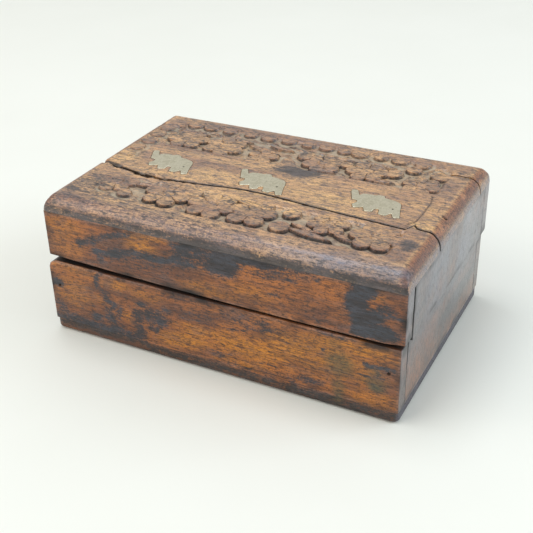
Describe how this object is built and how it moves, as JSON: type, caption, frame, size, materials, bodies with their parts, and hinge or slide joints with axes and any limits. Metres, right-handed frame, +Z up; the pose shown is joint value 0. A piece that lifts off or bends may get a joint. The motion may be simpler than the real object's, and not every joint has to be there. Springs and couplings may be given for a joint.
{
  "type": "wooden storage box",
  "caption": "Old carved wooden box with a lid hinged at the back, a top of cracked boards carved with flowers and set with sheet brass elephants.",
  "frame": {"origin": "under the middle of the closed box, on the surface it stands on", "axes": "+X along the front from left to right, +Y from front to back, +Z up"},
  "size_m": [0.2318, 0.15, 0.0939],
  "materials": {
    "base_wood": "old waxed rosewood, worn",
    "lid_wood": "old waxed rosewood, worn",
    "carved_top_wood": "old dry rosewood, carved, dusty in the ground",
    "bottom_wood": "bare, dirty",
    "inlay_brass": "dull, filed flush",
    "hinge_brass": "tarnished",
    "nail_iron": "rusted dark"
  },
  "bodies": {
    "base": {"base_front": "base_wood", "base_back": "base_wood", "base_left": "base_wood", "base_right": "base_wood", "bottom_board": "bottom_wood", "base_corner_nails": "nail_iron", "bottom_nails": "nail_iron", "hinge_left_base_leaf": "hinge_brass", "hinge_right_base_leaf": "hinge_brass", "hinge_left_pin": "hinge_brass", "hinge_right_pin": "hinge_brass", "base_hinge_nails": "nail_iron"},
    "lid": {"lid_front": "lid_wood", "lid_back": "lid_wood", "lid_left": "lid_wood", "lid_right": "lid_wood", "lid_corner_nails": "nail_iron", "top_front_board": "carved_top_wood", "top_middle_board": "carved_top_wood", "top_back_board": "carved_top_wood", "top_nail": "nail_iron", "elephant_left": "inlay_brass", "elephant_middle": "inlay_brass", "elephant_right": "inlay_brass", "elephant_pins": "inlay_brass", "hinge_left_lid_leaf": "hinge_brass", "hinge_right_lid_leaf": "hinge_brass", "lid_hinge_nails": "nail_iron"}
  },
  "joints": [
    {"name": "lid_hinge", "type": "hinge", "parent": "base", "child": "lid", "pos_m": [0, 0.0728, 0.0494], "axis": [-1, 0, 0], "range_deg": [0, 105]}
  ]
}
